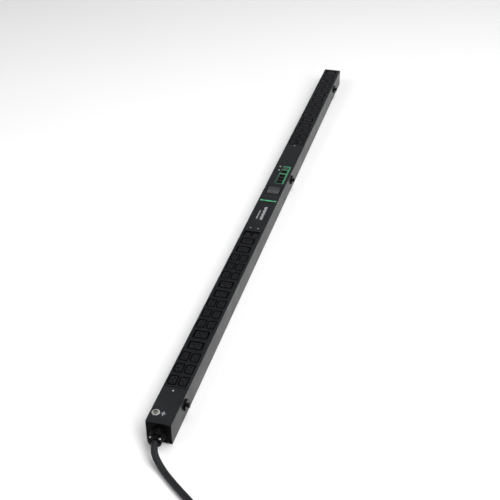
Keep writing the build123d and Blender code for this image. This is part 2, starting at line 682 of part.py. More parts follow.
with BuildPart() as jack:
    with BuildSketch(Plane.XY.offset(CONTROLLER_BOARD_TOP)):
        Rectangle(*JACK_BODY)
    extrude(amount=JACK_FACE - CONTROLLER_BOARD_TOP)
    with BuildSketch(Plane.XY.offset(JACK_FACE)):
        with Locations((0, 1.0)):
            Rectangle(*JACK_MOUTH)
        with Locations((0, 1.0 - JACK_MOUTH[1] / 2)):
            Rectangle(JACK_LATCH[0], 2 * JACK_LATCH[1])
    extrude(amount=-JACK_CAVITY_DEPTH, mode=Mode.SUBTRACT)
    chamfer(jack.faces().sort_by(Axis.Z)[-1].inner_wires().edges(), 0.4)

with BuildPart() as network_jack:
    with Locations((PORT_X, along(NETWORK_PORT_Y), 0)):
        add(jack.part)
network_jack.part.label = "network_jack"
export_step(network_jack.part, "parts/network_jack.step")

with BuildPart() as accessory_jacks:
    with Locations(*[(PORT_X, along(y), 0) for y in ACCESSORY_PORT_Y]):
        add(jack.part)
accessory_jacks.part.label = "accessory_jacks"
export_step(accessory_jacks.part, "parts/accessory_jacks.step")

# Eight spring wires in each jack, lying against its far wall.
WIRE_PITCH = 1.02
wire_wall = 1.0 + JACK_MOUTH[1] / 2
with BuildPart() as jack_contacts:
    for port_y in (NETWORK_PORT_Y, *ACCESSORY_PORT_Y):
        with Locations((PORT_X, along(port_y) + wire_wall - 0.4, JACK_FACE - 6.5)):
            with GridLocations(WIRE_PITCH, 1, 8, 1):
                Box(0.45, 0.8, 9)
jack_contacts.part.label = "jack_contacts"
export_step(jack_contacts.part, "parts/jack_contacts.step")

with BuildPart() as usb_socket:
    with BuildSketch(Plane.XY.offset(CONTROLLER_BOARD_TOP)):
        with Locations((PORT_X, along(USB_Y))):
            RectangleRounded(*USB_SHELL, 0.6)
    extrude(amount=JACK_FACE - CONTROLLER_BOARD_TOP)
    with BuildSketch(Plane.XY.offset(JACK_FACE)):
        with Locations((PORT_X, along(USB_Y))):
            Rectangle(*USB_CAVITY)
        with Locations((PORT_X, along(USB_Y) + 1.2)):
            Rectangle(*USB_TONGUE, mode=Mode.SUBTRACT)
    extrude(amount=-12, mode=Mode.SUBTRACT)
usb_socket.part.label = "usb_socket"
export_step(usb_socket.part, "parts/usb_socket.step")

with BuildPart() as controller_board:
    with BuildSketch(Plane.XY.offset(CONTROLLER_BOARD_TOP)):
        with Locations((middle(CONTROLLER_BOARD_X), along(middle(CONTROLLER_BOARD_Y)))):
            Rectangle(span(CONTROLLER_BOARD_X), span(CONTROLLER_BOARD_Y))
    extrude(amount=-BOARD_THICKNESS)
    with BuildSketch(Plane.XY.offset(CONTROLLER_BOARD_TOP - BOARD_THICKNESS)):
        with Locations((-2, along(930))):
            Rectangle(30, 40)
        with Locations((-2, along(1010))):
            Rectangle(24, 24)
    extrude(amount=-12)
    with BuildSketch(Plane.XY.offset(SHEET)):
        with Locations(*[(x, along(y)) for x in (-21.5, 17.5) for y in (906, 985, 1094)]):
            Circle(STANDOFF_RADIUS)
    extrude(amount=CONTROLLER_BOARD_TOP - BOARD_THICKNESS - SHEET)
controller_board.part.label = "controller_board"
export_step(controller_board.part, "parts/controller_board.step")

with BuildPart() as port_label:
    with BuildSketch(Plane.XY.offset(DEPTH)):
        with Locations((middle(PORT_LABEL_X), along(middle(PORT_LABEL_Y)))):
            RectangleRounded(span(PORT_LABEL_X), span(PORT_LABEL_Y), 1.0)
        with Locations(*[(PORT_X, along(y)) for y in (NETWORK_PORT_Y, *ACCESSORY_PORT_Y)]):
            Rectangle(JACK_BODY[0] + 0.4, JACK_BODY[1] + 0.4, mode=Mode.SUBTRACT)
        with Locations((PORT_X, along(USB_Y))):
            Rectangle(USB_SHELL[0] + 0.4, USB_SHELL[1] + 0.4, mode=Mode.SUBTRACT)
    extrude(amount=LABEL_THICKNESS)
port_label.part.label = "port_label"
export_step(port_label.part, "parts/port_label.step")

with BuildPart() as accent_strip:
    with BuildSketch(Plane.XY.offset(DEPTH)):
        with Locations((middle(STRIP_LABEL_X), along(middle(STRIP_LABEL_Y)))):
            RectangleRounded(span(STRIP_LABEL_X), span(STRIP_LABEL_Y), 1.0)
    extrude(amount=LABEL_THICKNESS)
accent_strip.part.label = "accent_strip"
export_step(accent_strip.part, "parts/accent_strip.step")

# Printed marks: an earth symbol, a dot for each bank, ticks for the breakers, and plain bars.
with BuildPart() as printed_marks:
    with BuildSketch(Plane.XY.offset(DEPTH)):
        with Locations((1.2, along(24.2))):
            Rectangle(1.6, 6.4)
        for width, y in ((10.0, 27.6), (6.4, 30.2), (2.8, 32.8)):
            with Locations((1.2, along(y))):
                Rectangle(width, 1.5)
        with Locations((-2, along(97)), (-2, along(1226))):
            Circle(2.4)
        with Locations((-11, along(744)), (10, along(744))):
            RectangleRounded(4.6, 4.6, 1.2)
        for start, end in ((788, 804), (808, 830), (834, 856)):
            with Locations((4.8, along((start + end) / 2))):
                RectangleRounded(7.6, end - start, 1.5)
        for start, end in ((790, 798), (801, 811), (815, 835)):
            with Locations((-7.2, along((start + end) / 2))):
                RectangleRounded(3.6, end - start, 1.2)
    extrude(amount=PRINT_THICKNESS)
printed_marks.part.label = "printed_marks"
export_step(printed_marks.part, "parts/printed_marks.step")

# ---------------------------------------------------------------- earth terminal and mounting pegs

ground_place = (GROUND_PLACE[0], along(GROUND_PLACE[1]))
with BuildPart() as ground_washer:
    with BuildSketch(Plane.XY.offset(DEPTH)):
        with Locations(ground_place):
            Circle(GROUND_WASHER_RADIUS)
            Circle(GROUND_SCREW_RADIUS + 0.1, mode=Mode.SUBTRACT)
    extrude(amount=0.9)
    fillet(ground_washer.faces().sort_by(Axis.Z)[-1].outer_wire().edges(), 0.3)
ground_washer.part.label = "ground_washer"
export_step(ground_washer.part, "parts/ground_washer.step")

with BuildPart() as ground_screw:
    with BuildSketch(Plane.XY.offset(DEPTH + 0.9)):
        with Locations(ground_place):
            Circle(5.4)
    extrude(amount=2.4)
    fillet(ground_screw.faces().sort_by(Axis.Z)[-1].edges(), 1.2)
    with BuildSketch(Plane.XY.offset(DEPTH + 0.9)):
        with Locations(ground_place):
            Circle(GROUND_SCREW_RADIUS - 0.02)
    extrude(amount=-12)
    with BuildSketch(Plane.XY.offset(DEPTH + 3.3)):
        with Locations(ground_place):
            Rectangle(5.2, 1.1)
            Rectangle(1.1, 5.2)
    extrude(amount=-1.5, mode=Mode.SUBTRACT)
ground_screw.part.label = "ground_screw"
export_step(ground_screw.part, "parts/ground_screw.step")

# A peg turned about +X: a wide flange, a neck and a head, with a bolt through the wall.
with BuildPart() as mounting_pegs:
    for peg_y in PEG_Y:
        reach = WIDTH / 2
        for radius, length in (PEG_FLANGE, PEG_NECK, PEG_HEAD):
            with BuildSketch(Plane.YZ.offset(reach)):
                with Locations((along(peg_y), PEG_Z)):
                    Circle(radius)
            extrude(amount=length)
            reach += length
        with BuildSketch(Plane.YZ.offset(WIDTH / 2)):
            with Locations((along(peg_y), PEG_Z)):
                Circle(PEG_BOLT_RADIUS - 0.02)
        extrude(amount=-6)
    rims = mounting_pegs.edges().filter_by(GeomType.CIRCLE).group_by(Axis.X)
    fillet(rims[-1], 0.8)
mounting_pegs.part.label = "mounting_pegs"
export_step(mounting_pegs.part, "parts/mounting_pegs.step")

with BuildPart() as inner_nuts:
    with BuildSketch(Plane.YZ.offset(WIDTH / 2 - SHEET)):
        with Locations(*[(along(y), PEG_Z) for y in PEG_Y]):
            RegularPolygon(5.6, 6)
            Circle(PEG_BOLT_RADIUS, mode=Mode.SUBTRACT)
    extrude(amount=-4)
    with BuildSketch(Plane.XY.offset(PANEL_BACK)):
        with Locations(ground_place):
            RegularPolygon(5.6, 6)
            Circle(GROUND_SCREW_RADIUS, mode=Mode.SUBTRACT)
    extrude(amount=-5)
inner_nuts.part.label = "inner_nuts"
export_step(inner_nuts.part, "parts/inner_nuts.step")

# ---------------------------------------------------------------- cable gland

CLAMP_SCREW_Y = along(CAP_INSET - (CLAMP_START + CLAMP_END) / 2)
clamp_screw_places = [(-CLAMP_SCREW_X, CLAMP_SCREW_Y), (CLAMP_SCREW_X, CLAMP_SCREW_Y)]
with BuildPart() as gland_body:
    with BuildSketch(cross_plane(CAP_INSET)):
        with Locations((0, GLAND_Z)):
            Circle(GLAND_BASE_RADIUS)
    extrude(amount=GLAND_BASE_LENGTH)
    with BuildSketch(cross_plane(CAP_INSET)):
        with Locations((0, GLAND_Z)):
            with PolarLocations(GLAND_BASE_RADIUS + 1.4, GLAND_FLUTES):
                Circle(2.6)
    extrude(amount=GLAND_BASE_LENGTH, mode=Mode.SUBTRACT)
    fillet(gland_body.faces().sort_by(Axis.Y)[0].edges(), 0.8)
    with BuildSketch(cross_plane(CAP_INSET - GLAND_BASE_LENGTH)):
        with Locations((0, GLAND_Z)):
            Circle(GLAND_TIP_RADIUS)
    extrude(amount=GLAND_LENGTH - GLAND_BASE_LENGTH)
    fillet(gland_body.faces().sort_by(Axis.Y)[0].edges(), 1.5)
    with BuildSketch(cross_plane(CAP_INSET - CLAMP_START)):
        with Locations((0, CLAMP_SPLIT_Z)):
            Rectangle(4 * GLAND_TIP_RADIUS, 2 * GLAND_TIP_RADIUS, align=(Align.CENTER, Align.MIN))
    extrude(amount=GLAND_LENGTH, mode=Mode.SUBTRACT)
    with BuildSketch(cross_plane(CAP_INSET)):
        with Locations((0, GLAND_Z)):
            Circle(GLAND_NECK_RADIUS)
    extrude(amount=-12)
    with BuildSketch(cross_plane(12)):
        with Locations((0, GLAND_Z)):
            Circle(CORD_RADIUS)
    extrude(amount=60, mode=Mode.SUBTRACT)
    with BuildSketch(Plane.XY.offset(CLAMP_SPLIT_Z)):
        with Locations(*clamp_screw_places):
            Circle(SCREW_RADIUS)
    extrude(amount=-8, mode=Mode.SUBTRACT)
gland_body.part.label = "gland_body"
export_step(gland_body.part, "parts/gland_body.step")

with BuildPart() as gland_locknut:
    with BuildSketch(cross_plane(CAP_INSET + CAP_THICKNESS)):
        with Locations((0, GLAND_Z)):
            RegularPolygon(14, 6)
            Circle(GLAND_NECK_RADIUS, mode=Mode.SUBTRACT)
    extrude(amount=-5)
gland_locknut.part.label = "gland_locknut"
export_step(gland_locknut.part, "parts/gland_locknut.step")

# The saddle bridges the cord and is pulled down by two screws.
with BuildPart() as gland_clamp:
    with BuildSketch(cross_plane(CAP_INSET - CLAMP_START)):
        with Locations((0, GLAND_Z)):
            Circle(GLAND_TIP_RADIUS - 0.6)
            Circle(CORD_RADIUS, mode=Mode.SUBTRACT)
        with Locations((0, CLAMP_SPLIT_Z + 0.3)):
            Rectangle(
                4 * GLAND_TIP_RADIUS,
                4 * GLAND_TIP_RADIUS,
                align=(Align.CENTER, Align.MAX),
                mode=Mode.SUBTRACT,
            )
        with Locations((0, CLAMP_TOP_Z)):
            Rectangle(4 * GLAND_TIP_RADIUS, 20, align=(Align.CENTER, Align.MIN), mode=Mode.SUBTRACT)
        for side in (-1, 1):
            with Locations((side * (CLAMP_SCREW_X + 3.2), CLAMP_SEAT_Z)):
                Rectangle(13, 20, align=(Align.CENTER, Align.MIN), mode=Mode.SUBTRACT)
    extrude(amount=CLAMP_END - CLAMP_START)
    with BuildSketch(Plane.XY.offset(CLAMP_SEAT_Z)):
        with Locations(*clamp_screw_places):
            Circle(SCREW_RADIUS)
    extrude(amount=-20, mode=Mode.SUBTRACT)
gland_clamp.part.label = "gland_clamp"
export_step(gland_clamp.part, "parts/gland_clamp.step")

with BuildPart() as gland_screws:
    with Locations(*[(x, y, CLAMP_SEAT_Z) for x, y in clamp_screw_places]):
        add(pan_screw.part)
gland_screws.part.label = "gland_screws"
export_step(gland_screws.part, "parts/gland_screws.step")

# ---------------------------------------------------------------- inner wiring

# Two current sensors: rings that the live leads pass through below the breakers.
WIRE_RADIUS = 2.5
with BuildPart() as current_sensors:
    with BuildSketch(cross_plane(690)):
        with Locations(*[(x, 11.0) for x in BREAKER_X]):
            Circle(8.0)
            Circle(WIRE_RADIUS + 0.3, mode=Mode.SUBTRACT)
    extrude(amount=-9)
current_sensors.part.label = "current_sensors"
export_step(current_sensors.part, "parts/current_sensors.step")

supply_routes = {
    "live_wire": [(-3.5, 14, 29), (-11.2, 60, 11), (-11.2, 706, 11), (-11.2, 715, 14), (-11.2, 715, 20)],
    "neutral_wire": [(3.5, 14, 29), (10.2, 60, 11), (10.2, 110, 11), (12, 122, 16), (12, 122, 22.4)],
    "earth_wire": [(0, 14, 23), (-4, 40, 10), (-2, 100, 11), (-2, 122, 16), (-2, 122, 22.4)],
}
for name, points in supply_routes.items():
    corners = [(x, along(y), z) for x, y, z in points]
    start_direction = Vector(*corners[1]) - Vector(*corners[0])
    with BuildPart() as wire:
        with BuildLine():
            FilletPolyline(*corners, radius=2.6)
        with BuildSketch(Plane(corners[0], z_dir=start_direction)):
            Circle(WIRE_RADIUS)
        sweep()
    wire.part.label = name
    export_step(wire.part, f"parts/{name}.step")

# ---------------------------------------------------------------- mains cord


def corner_radii(points):
    """The largest arcs that the runs allow: 0.45 of the shorter run over tan(half the turn)."""
    radii = []
    for before, corner, after in zip(points, points[1:], points[2:]):
        run_in = Vector(*corner) - Vector(*before)
        run_out = Vector(*after) - Vector(*corner)
        half_turn = math.radians(run_in.get_angle(run_out)) / 2
        radii.append(0.45 * min(run_in.length, run_out.length) / math.tan(half_turn))
    return radii


with BuildPart() as mains_cord:
    for stretch in (CORD_LEAD, CORD_TAIL):
        radii = corner_radii(stretch)
        print("cord arcs, in diameters:", [round(radius / CORD_DIAMETER, 1) for radius in radii])
        with BuildLine() as route:
            FilletPolyline(*stretch, radius=radii)
        with BuildSketch(Plane(route.line @ 0, z_dir=route.line % 0)):
            Circle(CORD_RADIUS - 0.02)
        sweep(path=route.line)
        print("cord length:", round(route.wire().length, 1))
mains_cord.part.label = "mains_cord"
export_step(mains_cord.part, "parts/mains_cord.step")

with BuildPart() as cord_coil:
    with BuildSketch(Plane.XZ.offset(-COIL_CENTRE[1])):
        with Locations((COIL_CENTRE[0] + COIL_INNER_TURN - CORD_RADIUS, 0)):
            coil_width = COIL_OUTER_TURN - COIL_INNER_TURN + CORD_DIAMETER
            RectangleRounded(coil_width, COIL_HEIGHT, 6.0, align=(Align.MIN, Align.MIN))
    revolve(axis=Axis((*COIL_CENTRE, 0), (0, 0, 1)))
cord_coil.part.label = "cord_coil"
export_step(cord_coil.part, "parts/cord_coil.step")

# ---------------------------------------------------------------- mains plug

plug_start = CORD_TAIL[-1]
plug_axis = Axis(plug_start, (-1, 0, 0))


def plug_plane(distance):
    """Plane across the plug: its x is +Y, its y is -Z, and it faces along the pins."""
    x, y, z = plug_start
    return Plane((x - distance, y, z), x_dir=(0, 1, 0), z_dir=(-1, 0, 0))


# The length plane's x runs along the plug, and its y is +Z.
length_plane = Plane(plug_start, x_dir=(-1, 0, 0), z_dir=(0, 1, 0))
handle_start = PLUG_GRIP_LENGTH - 6
handle_end = handle_start + PLUG_HANDLE_LENGTH + 6
shroud_end = PLUG_GRIP_LENGTH + PLUG_HANDLE_LENGTH + PLUG_SHROUD_LENGTH

with BuildPart() as plug_cord_grip:
    with BuildSketch(length_plane):
        with BuildLine():
            Polyline((0, 0), (0, 11), (3, 13.5), (12, 17), (handle_start, 17), (handle_start, 0))
            Line((handle_start, 0), (0, 0))
        make_face()
    revolve(axis=plug_axis)
    with BuildSketch(plug_plane(0)):
        with PolarLocations(18.4, 10):
            Circle(2.4)
    extrude(amount=handle_start, mode=Mode.SUBTRACT)
plug_cord_grip.part.label = "plug_cord_grip"
export_step(plug_cord_grip.part, "parts/plug_cord_grip.step")

waist = (handle_start + 34, 25.5)
collar = (handle_end - 12, PLUG_RADIUS - 1)
with BuildPart() as plug_handle:
    with BuildSketch(length_plane):
        with BuildLine():
            Polyline((handle_start, 0), (handle_start, 20), (handle_start + 6, 22.5), waist)
            ThreePointArc(waist, (handle_end - 22, 28.5), collar)
            Polyline(collar, (handle_end, PLUG_RADIUS - 1), (handle_end, 0), (handle_start, 0))
        make_face()
    revolve(axis=plug_axis)
    with BuildSketch(plug_plane(handle_start + 6)):
        with PolarLocations(27.5, 14):
            Circle(3.4)
    extrude(amount=30, mode=Mode.SUBTRACT)
plug_handle.part.label = "plug_handle"
export_step(plug_handle.part, "parts/plug_handle.step")

with BuildPart() as plug_shroud:
    with BuildSketch(plug_plane(handle_end)):
        Circle(PLUG_RADIUS)
    extrude(amount=8)
    with BuildSketch(plug_plane(handle_end + 8)):
        Circle(PLUG_RADIUS - 3)
        with Locations((0, 3 - PLUG_RADIUS)):
            Rectangle(7, 5)
    extrude(amount=shroud_end - handle_end - 8)
    with BuildSketch(plug_plane(shroud_end)):
        Circle(PLUG_CAVITY_RADIUS)
    extrude(amount=-PLUG_CAVITY_DEPTH, mode=Mode.SUBTRACT)
plug_shroud.part.label = "plug_shroud"
export_step(plug_shroud.part, "parts/plug_shroud.step")

# Two line pins and a thicker earth pin, a third of a turn apart.
pin_base = shroud_end - PLUG_CAVITY_DEPTH
with BuildPart() as plug_pins:
    for angle, radius in ((90, PLUG_EARTH_PIN_RADIUS), (210, PLUG_PIN_RADIUS), (330, PLUG_PIN_RADIUS)):
        turn = math.radians(angle)
        with BuildSketch(plug_plane(pin_base)):
            with Locations((PLUG_PIN_CIRCLE * math.cos(turn), -PLUG_PIN_CIRCLE * math.sin(turn))):
                Circle(radius)
        extrude(amount=PLUG_CAVITY_DEPTH - 4)
    fillet(plug_pins.edges().filter_by(GeomType.CIRCLE).group_by(Axis.X)[0], 1.4)
plug_pins.part.label = "plug_pins"
export_step(plug_pins.part, "parts/plug_pins.step")
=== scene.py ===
import math

import bmesh
import bpy
from mathutils import Matrix, Vector


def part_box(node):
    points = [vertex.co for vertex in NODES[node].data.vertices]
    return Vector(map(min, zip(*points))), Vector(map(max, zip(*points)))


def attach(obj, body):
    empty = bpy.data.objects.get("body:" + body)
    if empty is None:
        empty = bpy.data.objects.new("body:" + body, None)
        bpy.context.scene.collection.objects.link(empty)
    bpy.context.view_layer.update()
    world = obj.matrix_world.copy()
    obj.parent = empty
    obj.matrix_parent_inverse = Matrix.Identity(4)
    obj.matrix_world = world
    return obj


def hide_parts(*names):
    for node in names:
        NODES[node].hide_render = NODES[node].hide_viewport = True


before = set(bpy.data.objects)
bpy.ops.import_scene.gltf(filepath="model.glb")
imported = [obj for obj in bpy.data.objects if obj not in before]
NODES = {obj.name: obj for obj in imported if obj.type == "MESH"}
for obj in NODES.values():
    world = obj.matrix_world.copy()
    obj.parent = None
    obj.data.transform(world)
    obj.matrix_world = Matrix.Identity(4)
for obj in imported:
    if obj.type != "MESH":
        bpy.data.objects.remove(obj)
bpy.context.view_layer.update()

# A rack power strip on a pale studio floor. Everything is in metres, in the frame of the
# CAD part: +Z out of the outlet face, +Y from the cord end to the far end.

MM = 0.001
ENCLOSURE_LOW, ENCLOSURE_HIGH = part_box("rear_channel")
LENGTH = ENCLOSURE_HIGH[1] - ENCLOSURE_LOW[1]
HALF_WIDTH = ENCLOSURE_HIGH[0]
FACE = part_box("controller_panel")[1][2]


def along(distance):
    """Y of a place given in millimetres from the cord end."""
    return distance * MM - LENGTH / 2


# ---------------------------------------------------------------- camera

CAMERA_PLACE = Vector((0.53301, -2.09859, 1.37043))
CAMERA_RIGHT = Vector((0.96370, 0.26685, -0.00850))
CAMERA_UP = Vector((-0.14543, 0.55135, 0.82150))
CAMERA_BACK = Vector((0.22390, -0.79045, 0.57014))
LENS = 64.13

camera_data = bpy.data.cameras.new("photo_camera")
camera_data.sensor_width = 36.0
camera_data.lens = LENS
camera_data.clip_start = 0.05
camera_data.clip_end = 60.0
camera = bpy.data.objects.new("photo_camera", camera_data)
axes = Matrix((CAMERA_RIGHT, CAMERA_UP, CAMERA_BACK)).transposed().to_4x4()
camera.matrix_world = Matrix.Translation(CAMERA_PLACE) @ axes
bpy.context.collection.objects.link(camera)
bpy.context.scene.camera = camera
bpy.context.scene.view_settings.view_transform = "Standard"

# ---------------------------------------------------------------- mesh helpers


def rounded_outline(width, height, corner, steps=4):
    """Corners of a rounded rectangle about the origin, counter-clockwise."""
    points = []
    for quarter, (side_x, side_y) in enumerate(((1, 1), (-1, 1), (-1, -1), (1, -1))):
        for step in range(steps + 1):
            angle = math.pi / 2 * (quarter + step / steps)
            x = side_x * (width / 2 - corner) + corner * math.cos(angle)
            y = side_y * (height / 2 - corner) + corner * math.sin(angle)
            points.append((x, y))
    return points


def add_plate(shape, centre, outline, thickness, inner=None):
    """Adds a thin plate standing on centre, with an optional hole of as many points."""
    floor = Vector(centre)

    def ring(points, height):
        return [shape.verts.new(floor + Vector((x, y, height))) for x, y in points]

    outer_low, outer_high = ring(outline, 0.0), ring(outline, thickness)
    walls = [(outer_low, outer_high)]
    if inner is None:
        shape.faces.new(outer_high)
        shape.faces.new(outer_low[::-1])
    else:
        inner_low, inner_high = ring(inner, 0.0), ring(inner, thickness)
        walls += [(inner_high, inner_low), (outer_high, inner_high), (inner_low, outer_low)]
    for first, second in walls:
        for index, vertex in enumerate(first):
            following = (index + 1) % len(first)
            shape.faces.new((vertex, first[following], second[following], second[index]))


def closed_mesh(name, shape, body):
    """The bmesh as a piece of its own, on a body of the frame."""
    bmesh.ops.recalc_face_normals(shape, faces=shape.faces)
    mesh = bpy.data.meshes.new(name)
    shape.to_mesh(mesh)
    shape.free()
    piece = bpy.data.objects.new(name, mesh)
    bpy.context.collection.objects.link(piece)
    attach(piece, body)
    return piece


# ---------------------------------------------------------------- mains cord

CORD_DIAMETER = 14.5 * MM
CORD_LEAD = [
    (0.0, -0.9205, 0.027),
    (0.0, -0.9585, 0.027),
    (0.030, -0.987, 0.00725),
    (0.068, -1.0185, 0.00725),
    (0.106, -1.046, 0.00725),
    (0.150, -1.080, 0.00725),
]
COIL_CENTRE = (0.127, -1.190)
COIL_OUTER_TURN = 0.098
COIL_INNER_TURN = 0.0607
COIL_FIRST_ANGLE = math.radians(50)
COIL_SWEEP = math.radians(1850)
COIL_POINTS_PER_TURN = 30
CORD_TAIL = [
    (0.225, -1.250, 0.018),
    (0.200, -1.304, 0.013),
    (0.145, -1.330, 0.024),
    (0.100, -1.330, 0.033),
]


def coil_points():
    """The turns, wound inwards on the floor and then back outwards on top of themselves.

    The cord climbs by its own diameter over the half turn about the middle of the coil.
    """
    count = round(COIL_SWEEP / math.tau * COIL_POINTS_PER_TURN)
    points = []
    for step in range(count + 1):
        part = step / count
        inwards = 1 - abs(2 * part - 1)
        radius = COIL_OUTER_TURN + (COIL_INNER_TURN - COIL_OUTER_TURN) * inwards
        turns_past_middle = (part - 0.5) * COIL_SWEEP / math.tau
        climb = min(max(4 * turns_past_middle + 0.5, 0.0), 1.0)
        angle = COIL_FIRST_ANGLE - COIL_SWEEP * part
        x = COIL_CENTRE[0] + radius * math.cos(angle)
        y = COIL_CENTRE[1] + radius * math.sin(angle)
        points.append((x, y, CORD_DIAMETER * (0.5 + climb)))
    return points


def cord_curve(name, points, radius):
    """One smooth NURBS tube through a list of control points."""
    curve = bpy.data.curves.new(name, "CURVE")
    curve.dimensions = "3D"
    spline = curve.splines.new("NURBS")
    spline.points.add(len(points) - 1)
    for control, place in zip(spline.points, points):
        control.co = (*place, 1.0)
        control.radius = radius
    spline.order_u = 3
    spline.use_endpoint_u = True
    spline.resolution_u = 4
    curve.bevel_depth = 1.0
    curve.bevel_resolution = 8
    curve.use_fill_caps = True
    piece = bpy.data.objects.new(name, curve)
    bpy.context.collection.objects.link(piece)
    return piece


cord = cord_curve("power_cord", CORD_LEAD + coil_points() + CORD_TAIL, CORD_DIAMETER / 2)
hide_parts("mains_cord", "cord_coil")
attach(cord, "strip")

# Two straps hold the coil's turns together.
COIL_MIDDLE_TURN = (COIL_OUTER_TURN + COIL_INNER_TURN) / 2
STRAP_WIDTH = 16 * MM
STRAP_THICKNESS = 1.2 * MM
STRAP_CORNER = 7.0 * MM
STRAP_ANGLES = (150, 265)
STRAP_SECTION = (
    COIL_OUTER_TURN - COIL_INNER_TURN + CORD_DIAMETER + 2 * STRAP_THICKNESS,
    2 * CORD_DIAMETER + STRAP_THICKNESS,
)


def coil_strap(name, angle):
    """A strap round the coil's section, at an angle about the coil's centre."""
    radial = Vector((math.cos(angle), math.sin(angle), 0.0))
    upward = Vector((0.0, 0.0, 1.0))
    inside = [side - 2 * STRAP_THICKNESS for side in STRAP_SECTION]
    outer = rounded_outline(*STRAP_SECTION, STRAP_CORNER, steps=8)
    inner = rounded_outline(*inside, STRAP_CORNER - STRAP_THICKNESS, steps=8)
    shape = bmesh.new()
    add_plate(shape, (0.0, 0.0, -STRAP_WIDTH / 2), outer, STRAP_WIDTH, inner)
    turn = Matrix((radial, upward, radial.cross(upward))).transposed().to_4x4()
    centre = Vector((*COIL_CENTRE, STRAP_SECTION[1] / 2)) + radial * COIL_MIDDLE_TURN
    bmesh.ops.transform(shape, matrix=Matrix.Translation(centre) @ turn, verts=shape.verts)
    return closed_mesh(name, shape, "strip")


straps = [
    coil_strap(f"coil_strap_{number}", math.radians(angle))
    for number, angle in enumerate(STRAP_ANGLES, 1)
]

# ---------------------------------------------------------------- materials


class Finish:
    """A node material in the making: a Principled shader and the object's own coordinates."""

    def __init__(self, name, roughness, metallic=0.0, **sockets):
        self.material = bpy.data.materials.new(name)
        self.material.use_nodes = True
        self.nodes = self.material.node_tree.nodes
        self.shader = self.nodes["Principled BSDF"]
        self.shader.inputs["Metallic"].default_value = metallic
        self.shader.inputs["Roughness"].default_value = roughness
        for socket, value in sockets.items():
            self.shader.inputs[socket.replace("_", " ")].default_value = value
        self.place = self.nodes.new("ShaderNodeTexCoord").outputs["Object"]

    def join(self, source, target):
        self.material.node_tree.links.new(source, target)

    def noise(self, size, detail=3.0, stretch=(1.0, 1.0, 1.0)):
        """A noise whose features are about size metres across, drawn out along any axis."""
        mapping = self.nodes.new("ShaderNodeMapping")
        mapping.inputs["Scale"].default_value = [1.0 / (size * factor) for factor in stretch]
        texture = self.nodes.new("ShaderNodeTexNoise")
        texture.inputs["Scale"].default_value = 1.0
        texture.inputs["Detail"].default_value = detail
        self.join(self.place, mapping.inputs["Vector"])
        self.join(mapping.outputs["Vector"], texture.inputs["Vector"])
        return texture.outputs["Fac"]

    def spread(self, value, low, high, start=0.3, end=0.7):
        """value from start to end turned into low to high."""
        node = self.nodes.new("ShaderNodeMapRange")
        node.inputs["From Min"].default_value = start
        node.inputs["From Max"].default_value = end
        node.inputs["To Min"].default_value = low
        node.inputs["To Max"].default_value = high
        self.join(value, node.inputs["Value"])
        return node.outputs["Result"]

    def blend(self, factor, first, second):
        """A colour between first and second, each a colour or another node's output."""
        node = self.nodes.new("ShaderNodeMix")
        node.data_type = "RGBA"
        self.join(factor, node.inputs["Factor"])
        for socket, colour in ((node.inputs[6], first), (node.inputs[7], second)):
            if isinstance(colour, bpy.types.NodeSocket):
                self.join(colour, socket)
            else:
                socket.default_value = (*colour, 1.0)
        return node.outputs[2]

    def calculate(self, operation, *values):
        node = self.nodes.new("ShaderNodeMath")
        node.operation = operation
        for socket, value in zip(node.inputs, values):
            if isinstance(value, bpy.types.NodeSocket):
                self.join(value, socket)
            else:
                socket.default_value = value
        return node.outputs["Value"]

    def axis(self, letter):
        node = self.nodes.new("ShaderNodeSeparateXYZ")
        self.join(self.place, node.inputs["Vector"])
        return node.outputs[letter]

    def colour(self, value):
        self.join(value, self.shader.inputs["Base Color"])

    def roughness(self, value):
        self.join(value, self.shader.inputs["Roughness"])

    def bump(self, height, depth, strength=0.5):
        node = self.nodes.new("ShaderNodeBump")
        node.inputs["Distance"].default_value = depth
        node.inputs["Strength"].default_value = strength
        self.join(height, node.inputs["Height"])
        self.join(node.outputs["Normal"], self.shader.inputs["Normal"])


def powder_coat(name, colour, roughness, edge_wear_and_highlight, **sockets):
    """Fine orange-peel paint with faint cloudiness, lighter along the long front edges: partly rubbed paint
    and partly a painted highlight on the bends.
    """
    finish = Finish(name, roughness, **sockets)
    cloud = finish.noise(0.06, detail=5.0)
    grain = finish.noise(0.0011, detail=2.0)
    dark = [channel * 0.82 for channel in colour]
    light = [channel * 1.18 for channel in colour]
    painted = finish.blend(finish.spread(cloud, 0.0, 1.0), dark, light)
    speckled = finish.blend(finish.spread(grain, 0.0, 0.35, 0.45, 0.7), painted, [c * 1.9 for c in colour])
    # The lighter band along the long front edges is partly wear and partly a painted highlight on the bends.
    side = finish.calculate("ABSOLUTE", finish.axis("X"))
    at_side = finish.spread(side, 0.0, 1.0, HALF_WIDTH - 0.9 * MM, HALF_WIDTH)
    at_front = finish.spread(finish.axis("Z"), 0.0, 1.0, FACE - 2.0 * MM, FACE - 0.2 * MM)
    rubbed_and_lit = finish.spread(finish.noise(0.012, detail=6.0, stretch=(1, 4, 1)), 0.0, edge_wear_and_highlight, 0.42, 0.68)
    wear_and_highlight = finish.calculate("MULTIPLY", finish.calculate("MULTIPLY", at_side, at_front), rubbed_and_lit)
    finish.colour(finish.blend(wear_and_highlight, speckled, [min(channel * 4.0, 1.0) for channel in colour]))
    finish.roughness(finish.spread(cloud, roughness - 0.05, roughness + 0.06))
    finish.bump(grain, 0.00008, 0.45)
    return finish.material


